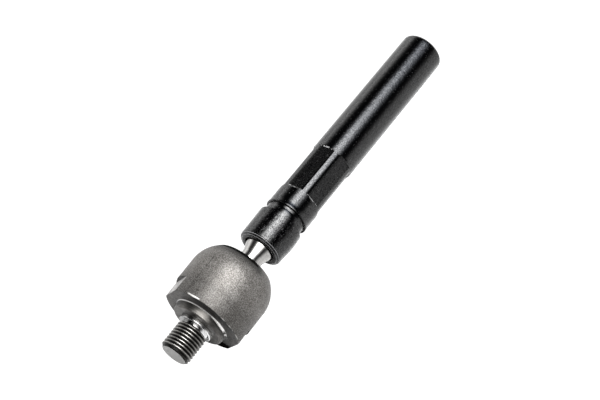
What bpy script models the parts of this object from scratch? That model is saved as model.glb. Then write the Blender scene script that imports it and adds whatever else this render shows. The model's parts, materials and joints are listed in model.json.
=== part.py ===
"""Inner tie rod of a car's steering rack, lying on a flat surface.

A forged housing with a threaded stud holds a steel ball in a plastic race. The
ball's neck leaves the housing through its swaged mouth and is screwed into a
black sleeve, which has a groove for the bellows, six wrench flats and a female
thread at its far end. The rod droops at the ball joint until the sleeve's far
end touches the surface that the housing lies on.

World frame: +X from the threaded stud to the sleeve's far end, +Z up, Z = 0 the
surface, origin under the middle of the object's box. Each piece is turned about
its own Z axis with Z = 0 at the ball's centre, and is then laid along +X.
"""
import math

import bmesh
import bpy
from mathutils import Matrix

MM = 0.001

# Fineness of the turned pieces. A count of 4k + 2 sides gives each piece a flat
# facet, and not an edge, to rest on.
SIDES = 54
VISIBLE_ARC_STEP = math.radians(7.0)
HIDDEN_ARC_STEP = math.radians(10.0)
FILLET_ARC_STEP = math.radians(30.0)
SHARP_ANGLE = math.radians(35.0)
RUNNING_GAP = 0.3 * MM

# Ball and race
BALL_RADIUS = 14.0 * MM
BALL_POLE_FLAT_RADIUS = 3.0 * MM
RACE_WALL = 1.45 * MM
RACE_MOUTH_POLAR = math.radians(52.0)
RACE_FOOT_POLAR = math.radians(148.0)
RACE_SLOTS = 6
RACE_SLOT_WIDTH = 1.6 * MM
RACE_SLOT_DEPTH = 7.0 * MM

# Housing: cavity, wall, dome and swaged mouth, with polar angles from the axis
CAVITY_FLOOR_GAP = 0.6 * MM
CAVITY_CONE_SLOPE = math.radians(52.0)
HOUSING_WALL = 2.8 * MM
DOME_SWELL = 0.97 * MM
DOME_BLEND_POLAR = math.radians(56.0)
MOUTH_OUTER_POLAR = math.radians(42.8)
MOUTH_INNER_POLAR = math.radians(46.5)
MOUTH_LIP_RADIUS = 0.4 * MM
MOUTH_LIP_WIDTH = 0.6 * MM

# Housing: base, boss and threaded stud, one behind the other
BASE_WALL = 1.0 * MM
BASE_EDGE_RADIUS = 0.4 * MM
BOSS_RADIUS = 12.6 * MM
BOSS_FILLET_RADIUS = 0.7 * MM
BOSS_TAPER = 0.7 * MM
BOSS_HEIGHT = 3.45 * MM
BOSS_EDGE_RADIUS = 0.5 * MM
STUD_THREAD_RADIUS = 7.0 * MM
STUD_THREAD_LENGTH = 12.75 * MM
STUD_CHAMFER = 1.2 * MM
COLLAR_RISE = 0.85 * MM
COLLAR_HEIGHT = 1.75 * MM
COLLAR_EDGE_RADIUS = 0.35 * MM
RELIEF_DEPTH = 0.9 * MM
RELIEF_LENGTH = 1.3 * MM
RELIEF_RAMP = 0.4 * MM

# Housing: two parallel wrench flats on its base
HOUSING_FLAT_DEPTH = 1.55 * MM
HOUSING_FLAT_LENGTH = 7.8 * MM
HOUSING_FLAT_RUNOUT = 0.3 * MM
HOUSING_FLAT_TURN = math.radians(-64.7)

# The sleeve's threads. The shank's thread is rolled on a thinner blank.
SLEEVE_THREAD_RADIUS = 7.0 * MM
SLEEVE_THREAD_PITCH = 1.5 * MM
BLANK_SHARE = 0.3
FEMALE_THREAD_SHARE = 0.5413

# Neck and shank of the ball stud
NECK_RADIUS = 5.1 * MM
NECK_ROOT_FILLET = 1.5 * MM
FLARE_LENGTH = 3.9 * MM
FLARE_HOLLOW_RADIUS = 4.0 * MM
FLARE_SHOULDER_RADIUS = 1.2 * MM
SHANK_LENGTH = 24.0 * MM
SHANK_CHAMFER = 1.0 * MM

# Sleeve: outside, one stretch after the other from its near face
SLEEVE_DOME_GAP = 5.38 * MM
SLEEVE_LENGTH = 131.65 * MM
SLEEVE_WALL = 3.2 * MM
SLEEVE_END_ROUND = 1.5 * MM
HEAD_FRONT_RISE = 0.15 * MM
HEAD_BACK_RISE = 0.45 * MM
HEAD_CHAMFER_DEPTH = 1.65 * MM
HEAD_CHAMFER_LENGTH = 1.05 * MM
HEAD_FRONT_ROUND = 0.5 * MM
HEAD_SIDE_ROUND = 0.6 * MM
HEAD_LENGTH = 15.5 * MM
GROOVE_DEPTH = 0.85 * MM
GROOVE_RAMP_LENGTH = 1.15 * MM
GROOVE_FLOOR_LENGTH = 3.5 * MM
LIP_RISE = 0.12 * MM
LIP_EDGE_RADIUS = 0.5 * MM
LIP_LENGTH = 0.8 * MM
LIP_RAMP = 0.6 * MM

# Sleeve: six wrench flats, past the lip
HEX_SPACE = 8.05 * MM
HEX_LENGTH = 26.1 * MM
HEX_DEPTH = 0.75 * MM
HEX_RUNOUT = 0.7 * MM
HEX_RIDGE_TURN = math.radians(15.6)

# Sleeve: recess round the neck, bore for the shank, and the far thread's bore
RECESS_GAP = 0.6 * MM
RECESS_DEPTH = 3.0 * MM
RECESS_CHAMFER = 0.25 * MM
SHANK_BORE_SPARE = 2.0 * MM
FAR_BORE_DEPTH = 60.0 * MM
FAR_COUNTERSINK = 0.85 * MM
DRILL_TIP_ANGLE = math.radians(59.0)

# Colours as linear RGB, with roughness and metallic value
FORGED_STEEL = ((0.20, 0.195, 0.185), 0.50, 1.0)
TURNED_STEEL = ((0.62, 0.61, 0.59), 0.22, 1.0)
BLACK_FINISH = ((0.022, 0.022, 0.024), 0.34, 0.0)
RACE_PLASTIC = ((0.72, 0.70, 0.64), 0.50, 0.0)

# The revolved axis, local Z, lies along world +X, and local Y is world up.
ALONG_X = Matrix(((0, 0, 1), (1, 0, 0), (0, 1, 0))).to_4x4()
CUTTER_MARGIN = 2.0 * MM


def clear_scene():
    for obj in list(bpy.data.objects):
        bpy.data.objects.remove(obj, do_unlink=True)


def make_collection(name):
    collection = bpy.data.collections.new(name)
    bpy.context.scene.collection.children.link(collection)
    return collection


def make_material(name, finish):
    colour, roughness, metallic = finish
    material = bpy.data.materials.new(name)
    material.use_nodes = True
    shader = material.node_tree.nodes["Principled BSDF"]
    shader.inputs["Base Color"].default_value = (*colour, 1.0)
    shader.inputs["Roughness"].default_value = roughness
    shader.inputs["Metallic"].default_value = metallic
    return material


def arc(centre, radius, start, end, step):
    """Points of an arc in the (r, z) plane, with angles from +r towards +z."""
    count = max(2, math.ceil(abs(end - start) / step))
    points = []
    for i in range(count + 1):
        angle = start + (end - start) * i / count
        points.append((centre[0] + radius * math.cos(angle), centre[1] + radius * math.sin(angle)))
    return points


def sphere_point(radius, polar):
    """The point of a sphere about the ball's centre, polar angle from +z."""
    return (radius * math.sin(polar), radius * math.cos(polar))


def rounded(corners):
    """A polyline in which each corner (r, z, fillet) is rounded by its fillet."""
    points = []
    for i, (r, z, fillet) in enumerate(corners):
        if fillet == 0.0 or i == 0 or i == len(corners) - 1:
            points.append((r, z))
            continue
        back = (corners[i - 1][0] - r, corners[i - 1][1] - z)
        ahead = (corners[i + 1][0] - r, corners[i + 1][1] - z)
        back_length = math.hypot(*back)
        ahead_length = math.hypot(*ahead)
        back = (back[0] / back_length, back[1] / back_length)
        ahead = (ahead[0] / ahead_length, ahead[1] / ahead_length)
        half = math.acos(back[0] * ahead[0] + back[1] * ahead[1]) / 2
        reach = fillet / math.sin(half)
        middle = (back[0] + ahead[0], back[1] + ahead[1])
        middle_length = math.hypot(*middle)
        centre = (r + reach * middle[0] / middle_length, z + reach * middle[1] / middle_length)
        tangent = fillet / math.tan(half)
        first = (r + back[0] * tangent - centre[0], z + back[1] * tangent - centre[1])
        last = (r + ahead[0] * tangent - centre[0], z + ahead[1] * tangent - centre[1])
        start = math.atan2(first[1], first[0])
        sweep = math.atan2(last[1], last[0]) - start
        sweep = (sweep + math.pi) % (2 * math.pi) - math.pi
        points += arc(centre, fillet, start, start + sweep, FILLET_ARC_STEP)
    return points


def turned(name, outline, material, collection, parent, closed=False):
    """A solid of revolution about its Z axis from an outline of (r, z) points."""
    mesh = bpy.data.meshes.new(name)
    vertices = [(max(r, 0.0), 0.0, z) for r, z in outline]
    edges = [(i, i + 1) for i in range(len(vertices) - 1)]
    if closed:
        edges.append((len(vertices) - 1, 0))
    mesh.from_pydata(vertices, edges, [])
    mesh.materials.append(material)
    obj = bpy.data.objects.new(name, mesh)
    collection.objects.link(obj)
    obj.parent = parent
    screw = obj.modifiers.new("turn", "SCREW")
    screw.axis = "Z"
    screw.angle = math.tau
    screw.steps = SIDES
    screw.render_steps = SIDES
    screw.use_smooth_shade = True
    screw.use_merge_vertices = True
    screw.merge_threshold = 0.00001
    return obj


def cut(target, cutter):
    boolean = target.modifiers.new(cutter.name, "BOOLEAN")
    boolean.operation = "DIFFERENCE"
    boolean.solver = "EXACT"
    boolean.object = cutter


def finish(obj):
    """Applies the modifiers, shades the turned faces smooth and keeps real edges sharp."""
    evaluated = obj.evaluated_get(bpy.context.evaluated_depsgraph_get())
    mesh = bpy.data.meshes.new_from_object(evaluated)
    mesh.name = obj.name
    obj.modifiers.clear()
    obj.data = mesh
    mesh.shade_smooth()
    mesh.set_sharp_from_angle(angle=SHARP_ANGLE)


def make_cutter(name, mesh, collection, parent):
    obj = bpy.data.objects.new(name, mesh)
    collection.objects.link(obj)
    obj.parent = parent
    obj.hide_render = True
    obj.display_type = "WIRE"
    return obj


def flat_cutter(name, radius, depth, start, end, runout, turn, collection, parent):
    """A block that cuts one wrench flat into a cylinder, its ends sloped.

    The flat lies depth under the cylinder's radius, between start and end along
    the axis, each end sloping by runout over that depth. The direction that it
    faces is turned from local Y about the axis.
    """
    slope = runout / depth
    mesh = bpy.data.meshes.new(name)
    block = bmesh.new()
    bmesh.ops.create_cube(block, size=1.0)
    for vertex in block.verts:
        inner = vertex.co.y < 0
        half_length = (end - start) / 2 + (-runout if inner else slope * CUTTER_MARGIN)
        vertex.co.x *= 2 * radius
        vertex.co.y = radius - depth if inner else radius + CUTTER_MARGIN
        vertex.co.z = (start + end) / 2 + math.copysign(half_length, vertex.co.z)
    bmesh.ops.rotate(block, verts=block.verts, matrix=Matrix.Rotation(turn, 3, "Z"))
    block.to_mesh(mesh)
    block.free()
    return make_cutter(name, mesh, collection, parent)


def race_inner_radius():
    return BALL_RADIUS + RUNNING_GAP


def race_outer_radius():
    return race_inner_radius() + RACE_WALL


def cavity_radius():
    return race_outer_radius() + RUNNING_GAP


def cavity_floor_depth():
    return BALL_RADIUS + CAVITY_FLOOR_GAP


def housing_radius():
    return cavity_radius() + HOUSING_WALL


def dome_radius():
    return housing_radius() + DOME_SWELL


def base_depth():
    return cavity_floor_depth() + BASE_WALL


def boss_face_depth():
    return base_depth() + BOSS_HEIGHT


def stud_reach():
    """Distance from the ball's centre to the stud's end."""
    return boss_face_depth() + COLLAR_HEIGHT + RELIEF_LENGTH + STUD_THREAD_LENGTH


def shank_radius():
    return SLEEVE_THREAD_RADIUS - BLANK_SHARE * SLEEVE_THREAD_PITCH


def sleeve_radius():
    return SLEEVE_THREAD_RADIUS + SLEEVE_WALL


def sleeve_start():
    """Distance from the ball's centre to the sleeve's near face."""
    return dome_radius() + SLEEVE_DOME_GAP


def sleeve_end():
    return sleeve_start() + SLEEVE_LENGTH


def cone_shoulder_depth(radius):
    """Where a cone tangent to a sphere about the ball's centre meets the cylinder round it."""
    return radius * math.tan(CAVITY_CONE_SLOPE / 2)


def cone_radius(radius, depth):
    """The radius of that cone at a depth below the ball's centre."""
    return (radius - depth * math.sin(CAVITY_CONE_SLOPE)) / math.cos(CAVITY_CONE_SLOPE)


def housing_outline():
    """Up the cavity from its floor, over the mouth, and down the outer side."""
    cavity = cavity_radius()
    floor = cavity_floor_depth()
    outer = housing_radius()
    dome = dome_radius()
    mouth_inner = math.pi / 2 - MOUTH_INNER_POLAR
    points = [(0.0, -floor), (cone_radius(cavity, floor), -floor)]
    points.append((cavity, -cone_shoulder_depth(cavity)))
    points += arc((0.0, 0.0), cavity, 0.0, mouth_inner, HIDDEN_ARC_STEP)

    # The mouth's outer edge is a small round that runs into the dome.
    below_lip_polar = MOUTH_OUTER_POLAR + MOUTH_LIP_WIDTH / dome
    lip = sphere_point(dome, MOUTH_OUTER_POLAR)
    below_lip = sphere_point(dome, below_lip_polar)
    points += rounded([(*points[-1], 0.0), (*lip, MOUTH_LIP_RADIUS), (*below_lip, 0.0)])[1:-1]

    # The dome's sphere runs into the cylinder through a blend tangent to both.
    blend_angle = math.pi / 2 - DOME_BLEND_POLAR
    blend_radius = (outer - dome * math.cos(blend_angle)) / (1 - math.cos(blend_angle))
    blend_centre = sphere_point(dome - blend_radius, DOME_BLEND_POLAR)
    dome_start = math.pi / 2 - below_lip_polar
    points += arc((0.0, 0.0), dome, dome_start, blend_angle, VISIBLE_ARC_STEP)
    points += arc(blend_centre, blend_radius, blend_angle, 0.0, VISIBLE_ARC_STEP)[1:]

    base_z = -base_depth()
    boss_z = -boss_face_depth()
    collar_z = boss_z - COLLAR_HEIGHT
    relief_z = collar_z - RELIEF_LENGTH
    stud_end_z = -stud_reach()
    collar = STUD_THREAD_RADIUS + COLLAR_RISE
    relief = STUD_THREAD_RADIUS - RELIEF_DEPTH
    points += rounded([
        (outer, base_z + HOUSING_FLAT_LENGTH, 0.0),
        (outer, base_z, BASE_EDGE_RADIUS),
        (BOSS_RADIUS, base_z, BOSS_FILLET_RADIUS),
        (BOSS_RADIUS - BOSS_TAPER, boss_z, BOSS_EDGE_RADIUS),
        (collar, boss_z, 0.0),
        (collar, collar_z, COLLAR_EDGE_RADIUS),
        (relief, collar_z, 0.0),
        (relief, relief_z + RELIEF_RAMP, 0.0),
        (STUD_THREAD_RADIUS, relief_z - RELIEF_RAMP, 0.0),
        (STUD_THREAD_RADIUS, stud_end_z + STUD_CHAMFER, 0.0),
        (STUD_THREAD_RADIUS - STUD_CHAMFER, stud_end_z, 0.0),
        (0.0, stud_end_z, 0.0),
    ])
    return points


def make_housing(material, collection, cutters, parent):
    housing = turned("housing", housing_outline(), material, collection, parent)
    flat_start = -base_depth() - CUTTER_MARGIN
    flat_end = -base_depth() + HOUSING_FLAT_LENGTH
    for side in range(2):
        turn = HOUSING_FLAT_TURN + side * math.pi
        name = f"housing_flat_cutter_{side + 1}"
        cut(housing, flat_cutter(
            name, housing_radius(), HOUSING_FLAT_DEPTH, flat_start, flat_end,
            HOUSING_FLAT_RUNOUT, turn, cutters, parent))
    return housing


def race_outline():
    outer = race_outer_radius()
    inner = race_inner_radius()
    mouth = math.pi / 2 - RACE_MOUTH_POLAR
    foot = math.pi / 2 - RACE_FOOT_POLAR
    foot_depth = -inner * math.sin(foot)
    points = arc((0.0, 0.0), outer, mouth, 0.0, HIDDEN_ARC_STEP)
    points.append((outer, -cone_shoulder_depth(outer)))
    points.append((cone_radius(outer, foot_depth), -foot_depth))
    points += arc((0.0, 0.0), inner, foot, mouth, HIDDEN_ARC_STEP)
    return points


def slot_cutter(name, turn, collection, parent):
    """A thin block through the race's wall, open towards its mouth."""
    reach = race_outer_radius() + CUTTER_MARGIN
    bottom = race_outer_radius() * math.cos(RACE_MOUTH_POLAR) - RACE_SLOT_DEPTH
    mesh = bpy.data.meshes.new(name)
    block = bmesh.new()
    bmesh.ops.create_cube(block, size=1.0)
    bmesh.ops.scale(block, verts=block.verts, vec=(reach, RACE_SLOT_WIDTH, reach - bottom))
    bmesh.ops.translate(block, verts=block.verts, vec=(reach / 2, 0.0, (bottom + reach) / 2))
    bmesh.ops.rotate(block, verts=block.verts, matrix=Matrix.Rotation(turn, 3, "Z"))
    block.to_mesh(mesh)
    block.free()
    return make_cutter(name, mesh, collection, parent)


def make_ball_race(material, collection, cutters, parent):
    """The plastic shell round the ball, slotted so that it snaps over it."""
    race = turned("ball_race", race_outline(), material, collection, parent, closed=True)
    for i in range(RACE_SLOTS):
        turn = math.tau * (i + 0.5) / RACE_SLOTS
        cut(race, slot_cutter(f"race_slot_cutter_{i + 1}", turn, cutters, parent))
    return race


def ball_stud_outline():
    """From the shank's end down over the neck and the ball to the ball's pole."""
    shank = shank_radius()
    shank_end = sleeve_start() + SHANK_LENGTH
    flare_end = sleeve_start() - RUNNING_GAP
    root_r = NECK_RADIUS + NECK_ROOT_FILLET
    root_z = math.sqrt((BALL_RADIUS + NECK_ROOT_FILLET) ** 2 - root_r ** 2)
    root_angle = math.atan2(root_z, root_r)
    pole = -math.acos(BALL_POLE_FLAT_RADIUS / BALL_RADIUS)
    points = rounded([
        (0.0, shank_end, 0.0),
        (shank - SHANK_CHAMFER, shank_end, 0.0),
        (shank, shank_end - SHANK_CHAMFER, 0.0),
        (shank, flare_end, FLARE_SHOULDER_RADIUS),
        (NECK_RADIUS, flare_end - FLARE_LENGTH, FLARE_HOLLOW_RADIUS),
        (NECK_RADIUS, root_z, 0.0),
    ])[:-1]
    root_end = math.pi + root_angle
    points += arc((root_r, root_z), NECK_ROOT_FILLET, math.pi, root_end, FILLET_ARC_STEP)
    points += arc((0.0, 0.0), BALL_RADIUS, root_angle, pole, HIDDEN_ARC_STEP)[1:]
    points.append((0.0, points[-1][1]))
    return points


def sleeve_outline():
    """From the far bore's drill tip out, down the outside and into the recess."""
    radius = sleeve_radius()
    near_z = sleeve_start()
    far_z = sleeve_end()
    head_z = near_z + HEAD_LENGTH
    groove_z = head_z + GROOVE_RAMP_LENGTH
    lip_z = groove_z + GROOVE_FLOOR_LENGTH
    lip_end_z = lip_z + LIP_LENGTH
    head_front = radius + HEAD_FRONT_RISE

    far_bore = SLEEVE_THREAD_RADIUS - FEMALE_THREAD_SHARE * SLEEVE_THREAD_PITCH
    far_bore_z = far_z - FAR_BORE_DEPTH
    far_tip_z = far_bore_z - far_bore / math.tan(DRILL_TIP_ANGLE)
    shank_bore = shank_radius() + RUNNING_GAP
    shank_bore_z = near_z + SHANK_LENGTH + SHANK_BORE_SPARE
    shank_tip_z = shank_bore_z + shank_bore / math.tan(DRILL_TIP_ANGLE)
    recess = shank_radius() + RECESS_GAP
    return rounded([
        (0.0, far_tip_z, 0.0),
        (far_bore, far_bore_z, 0.0),
        (far_bore, far_z - FAR_COUNTERSINK, 0.0),
        (far_bore + FAR_COUNTERSINK, far_z, 0.0),
        (radius, far_z, SLEEVE_END_ROUND),
        (radius, lip_end_z + LIP_RAMP, 0.0),
        (radius + LIP_RISE, lip_end_z, 0.0),
        (radius + LIP_RISE, lip_z, LIP_EDGE_RADIUS),
        (radius - GROOVE_DEPTH, lip_z, 0.0),
        (radius - GROOVE_DEPTH, groove_z, 0.0),
        (radius + HEAD_BACK_RISE, head_z, 0.0),
        (head_front, near_z + HEAD_CHAMFER_LENGTH, HEAD_SIDE_ROUND),
        (head_front - HEAD_CHAMFER_DEPTH, near_z, HEAD_FRONT_ROUND),
        (recess + RECESS_CHAMFER, near_z, 0.0),
        (recess, near_z + RECESS_CHAMFER, 0.0),
        (recess, near_z + RECESS_DEPTH, 0.0),
        (shank_bore, near_z + RECESS_DEPTH, 0.0),
        (shank_bore, shank_bore_z, 0.0),
        (0.0, shank_tip_z, 0.0),
    ])


def make_sleeve(material, collection, cutters, parent):
    sleeve = turned("sleeve", sleeve_outline(), material, collection, parent)
    lip_end = HEAD_LENGTH + GROOVE_RAMP_LENGTH + GROOVE_FLOOR_LENGTH + LIP_LENGTH + LIP_RAMP
    start = sleeve_start() + lip_end + HEX_SPACE
    for i in range(6):
        turn = HEX_RIDGE_TURN + math.radians(30.0 + 60.0 * i)
        name = f"sleeve_flat_cutter_{i + 1}"
        cut(sleeve, flat_cutter(
            name, sleeve_radius(), HEX_DEPTH, start, start + HEX_LENGTH,
            HEX_RUNOUT, turn, cutters, parent))
    return sleeve


def facet_distance(radius):
    """How far a turned piece's flat facets lie from its axis."""
    return radius * math.cos(math.pi / SIDES)


def rest_height():
    """Height of the housing's axis when it lies on one of its facets."""
    return facet_distance(housing_radius())


def droop_angle():
    """How far the rod droops until the sleeve's far end touches the surface."""
    along = sleeve_end() - SLEEVE_END_ROUND
    across = facet_distance(sleeve_radius())
    return math.asin(rest_height() / math.hypot(along, across)) - math.atan2(across, along)


def ball_centre_x():
    """Puts the origin under the middle of the object's length."""
    droop = droop_angle()
    face_radius = facet_distance(sleeve_radius() - SLEEVE_END_ROUND)
    rod_reach = sleeve_end() * math.cos(droop) + face_radius * math.sin(droop)
    return (stud_reach() - rod_reach) / 2


def make_empty(name, collection, matrix, parent=None):
    empty = bpy.data.objects.new(name, None)
    collection.objects.link(empty)
    empty.parent = parent
    empty.matrix_local = matrix
    return empty


def build():
    clear_scene()
    parts = make_collection("inner_tie_rod")
    cutters = make_collection("cutters")

    forged_steel = make_material("forged_steel", FORGED_STEEL)
    turned_steel = make_material("turned_steel", TURNED_STEEL)
    black_finish = make_material("black_finish", BLACK_FINISH)
    race_plastic = make_material("race_plastic", RACE_PLASTIC)

    ball_centre = Matrix.Translation((ball_centre_x(), 0.0, rest_height()))
    joint_centre = make_empty("joint_centre", parts, ball_centre @ ALONG_X)
    rod_axis = make_empty("rod_axis", parts, Matrix.Rotation(droop_angle(), 4, "X"), joint_centre)

    pieces = [
        make_housing(forged_steel, parts, cutters, joint_centre),
        make_ball_race(race_plastic, parts, cutters, joint_centre),
        turned("ball_stud", ball_stud_outline(), turned_steel, parts, rod_axis),
        make_sleeve(black_finish, parts, cutters, rod_axis),
    ]
    bpy.context.view_layer.update()
    for piece in pieces:
        finish(piece)
    bpy.context.view_layer.update()


build()
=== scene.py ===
"""The looks of the inner tie rod: fine meshes, finishes, studio and camera.

Each fine mesh is turned about its own Z axis, with Z = 0 at the ball's centre, and
is then laid along world +X as the solid that it replaces. Angles about the axis are
measured from straight up towards world -Y.
"""
import json
import math

import bmesh
import bpy
import numpy as np
from mathutils import Matrix, Vector, noise


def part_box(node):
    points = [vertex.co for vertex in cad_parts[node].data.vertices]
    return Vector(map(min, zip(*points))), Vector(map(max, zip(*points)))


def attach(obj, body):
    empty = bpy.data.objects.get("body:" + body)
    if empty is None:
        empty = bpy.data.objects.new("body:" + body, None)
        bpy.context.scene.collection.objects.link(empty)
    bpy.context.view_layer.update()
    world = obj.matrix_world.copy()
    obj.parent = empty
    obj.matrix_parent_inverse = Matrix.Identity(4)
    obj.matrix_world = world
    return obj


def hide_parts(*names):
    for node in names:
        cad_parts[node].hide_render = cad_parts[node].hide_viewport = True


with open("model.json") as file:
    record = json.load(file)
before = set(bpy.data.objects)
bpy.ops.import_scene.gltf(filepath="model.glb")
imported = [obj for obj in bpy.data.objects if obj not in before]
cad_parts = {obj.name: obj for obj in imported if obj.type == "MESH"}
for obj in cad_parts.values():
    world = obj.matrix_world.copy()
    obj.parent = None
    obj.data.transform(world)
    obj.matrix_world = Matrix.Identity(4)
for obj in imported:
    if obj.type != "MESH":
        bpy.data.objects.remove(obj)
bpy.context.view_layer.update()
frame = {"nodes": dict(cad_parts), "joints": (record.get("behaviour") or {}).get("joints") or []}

MM = 0.001

# Sizes read from the frame
BALL_CENTRE = Vector(frame["joints"][0]["pos_m"])
HOUSING_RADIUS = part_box("housing")[1].z / 2
STUD_REACH = BALL_CENTRE.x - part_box("housing")[0].x

# Housing
DOME_SWELL = 0.97 * MM
CAVITY_RADIUS = 16.05 * MM
CAVITY_FLOOR_DEPTH = 14.6 * MM
CAVITY_CONE_SLOPE = math.radians(52.0)
DOME_BLEND_POLAR = math.radians(56.0)
MOUTH_OUTER_POLAR = math.radians(42.8)
MOUTH_INNER_POLAR = math.radians(46.5)
MOUTH_LIP_RADIUS = 0.4 * MM
MOUTH_LIP_WIDTH = 0.6 * MM
BASE_DEPTH = 15.6 * MM
BASE_EDGE_RADIUS = 0.5 * MM
BOSS_RADIUS = 12.6 * MM
BOSS_FILLET_LEG = 0.7 * MM
BOSS_FILLET_RADIUS = 0.98 * BOSS_FILLET_LEG
BOSS_TAPER = 0.7 * MM
BOSS_HEIGHT = 3.45 * MM
BOSS_EDGE_RADIUS = 0.6 * MM
BOSS_FACE_Z = -BASE_DEPTH - BOSS_HEIGHT
COLLAR_RADIUS = 7.85 * MM
COLLAR_HEIGHT = 1.75 * MM
COLLAR_EDGE_RADIUS = 0.35 * MM
RELIEF_RADIUS = 6.1 * MM
RELIEF_LENGTH = 1.3 * MM
RELIEF_RAMP = 0.4 * MM
HOUSING_FLAT_DEPTH = 1.55 * MM
HOUSING_FLAT_LENGTH = 7.8 * MM
HOUSING_FLAT_RUNOUT = 0.5 * MM
HOUSING_FLAT_EDGE = 0.10 * MM
HOUSING_FLAT_MARGIN = 0.1 * MM
HOUSING_FLAT_MIN_COSINE = 0.5
HOUSING_FLAT_TURN = math.radians(-64.7)
HOUSING_FLAT_TURNS = (HOUSING_FLAT_TURN, HOUSING_FLAT_TURN + math.pi)
HOUSING_FLAT_TOP_Z = -BASE_DEPTH + HOUSING_FLAT_LENGTH
HOUSING_FLAT_DISTANCE = HOUSING_RADIUS - HOUSING_FLAT_DEPTH
FORGED_SKIN_RADIUS = CAVITY_RADIUS + 0.5 * MM

# Threads: M14 x 1.5 on the stud and in the sleeve's far end, with the shares of a pitch
# at which the groove leaves its flat crest and reaches its flat root
THREAD_RADIUS = 7.0 * MM
THREAD_PITCH = 1.5 * MM
THREAD_DEPTH = 0.5413 * THREAD_PITCH
THREAD_CREST_SHARE = 1 / 16
THREAD_ROOT_SHARE = 3 / 8
THREAD_ROOT_ROUND = 0.06 * THREAD_PITCH
THREAD_ROOT_RADIUS = THREAD_RADIUS - THREAD_DEPTH
STUD_CHAMFER = 1.2 * MM
STUD_THREAD_TURN = math.radians(20.0)
FAR_THREAD_LENGTH = 48.0 * MM
FAR_THREAD_TURN = 0.0
FAR_BORE_RADIUS = THREAD_ROOT_RADIUS

# Ball stud
BALL_RADIUS = 14.0 * MM
BALL_POLE_FLAT_RADIUS = 3.0 * MM
NECK_RADIUS = 5.1 * MM
NECK_ROOT_FILLET = 1.5 * MM
SHANK_RADIUS = 6.55 * MM
FLARE_GAP = 0.3 * MM
FLARE_LENGTH = 3.9 * MM
FLARE_HOLLOW_RADIUS = 4.0 * MM
FLARE_SHOULDER_RADIUS = 1.2 * MM
SHANK_LENGTH = 24.0 * MM
SHANK_CHAMFER = 1.0 * MM

# Sleeve, one stretch after the other from its near face
SLEEVE_START = 25.2 * MM
SLEEVE_LENGTH = 131.65 * MM
SLEEVE_END = SLEEVE_START + SLEEVE_LENGTH
SLEEVE_RADIUS = 10.183 * MM
SLEEVE_SKIN_RADIUS = SLEEVE_RADIUS - 1.0 * MM
SLEEVE_END_ROUND = 1.5 * MM
HEAD_FRONT_RISE = 0.15 * MM
HEAD_BACK_RISE = 0.45 * MM
HEAD_BULGE = 0.35 * MM
HEAD_BULGE_TURN = math.radians(104.0)
HEAD_BULGE_MIN_COSINE = 0.3
HEAD_BULGE_START = 2.0 * MM
HEAD_BULGE_FULL = 8.0 * MM
HEAD_BULGE_FADE = 11.0 * MM
HEAD_CHAMFER_DEPTH = 1.65 * MM
HEAD_CHAMFER_LENGTH = 0.8 * MM
HEAD_STEP = 0.12 * MM
HEAD_STEP_LENGTH = 0.25 * MM
HEAD_FRONT_ROUND = 0.4 * MM
HEAD_SIDE_ROUND = 0.3 * MM
HEAD_LENGTH = 15.5 * MM
GROOVE_DEPTH = 0.85 * MM
GROOVE_RAMP_LENGTH = 0.45 * MM
GROOVE_FLOOR_LENGTH = 4.2 * MM
GROOVE_LINE_PLACE = 2.85 * MM
GROOVE_LINE_DEPTH = 0.06 * MM
GROOVE_LINE_WIDTH = 0.25 * MM
LIP_RISE = 0.12 * MM
LIP_EDGE_RADIUS = 0.2 * MM
LIP_LENGTH = 0.8 * MM
LIP_RAMP = 0.6 * MM
LIP_END = HEAD_LENGTH + GROOVE_RAMP_LENGTH + GROOVE_FLOOR_LENGTH + LIP_LENGTH + LIP_RAMP
HEX_SPACE = 8.05 * MM
HEX_START = SLEEVE_START + LIP_END + HEX_SPACE
HEX_LENGTH = 26.1 * MM
HEX_END = HEX_START + HEX_LENGTH
HEX_DEPTH = 0.733 * MM
HEX_RUNOUT = 1.1 * MM
HEX_RUNOUT_LEAD = 0.2 * MM
HEX_ROLLED_EDGE = 0.50 * MM
HEX_SHARP_EDGE = 0.04 * MM
HEX_MIN_COSINE = 0.8
HEX_RIDGE_TURN = math.radians(15.6)
HEX_FLAT_TURNS = [HEX_RIDGE_TURN + math.radians(30.0 + 60.0 * i) for i in range(6)]
RECESS_RADIUS = 7.15 * MM
RECESS_DEPTH = 3.0 * MM
RECESS_CHAMFER = 0.25 * MM
SHANK_BORE_GAP = 0.3 * MM
SHANK_BORE_SPARE = 2.0 * MM
FAR_BORE_DEPTH = 60.0 * MM
FAR_COUNTERSINK = 0.85 * MM
DRILL_TIP_ANGLE = math.radians(59.0)

# Uneven skins: the height and length of the waves, and the place in the noise that they come from
HOUSING_RAG_HEIGHT = 0.12 * MM
HOUSING_RAG_LENGTH = 1.6 * MM
HOUSING_RAG_SEED = 3.0
FORGED_WAVE_HEIGHT = 0.05 * MM
FORGED_WAVE_LENGTH = 4.0 * MM
FORGED_WAVE_SEED = 11.0
FORGED_WAVE_SINK = 0.03 * MM
FORGED_WAVE_FADE = 1.0 * MM
HEX_RAG_HEIGHT = 0.16 * MM
HEX_RAG_LENGTH = 1.3 * MM
HEX_RAG_SEED = 5.0

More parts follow.
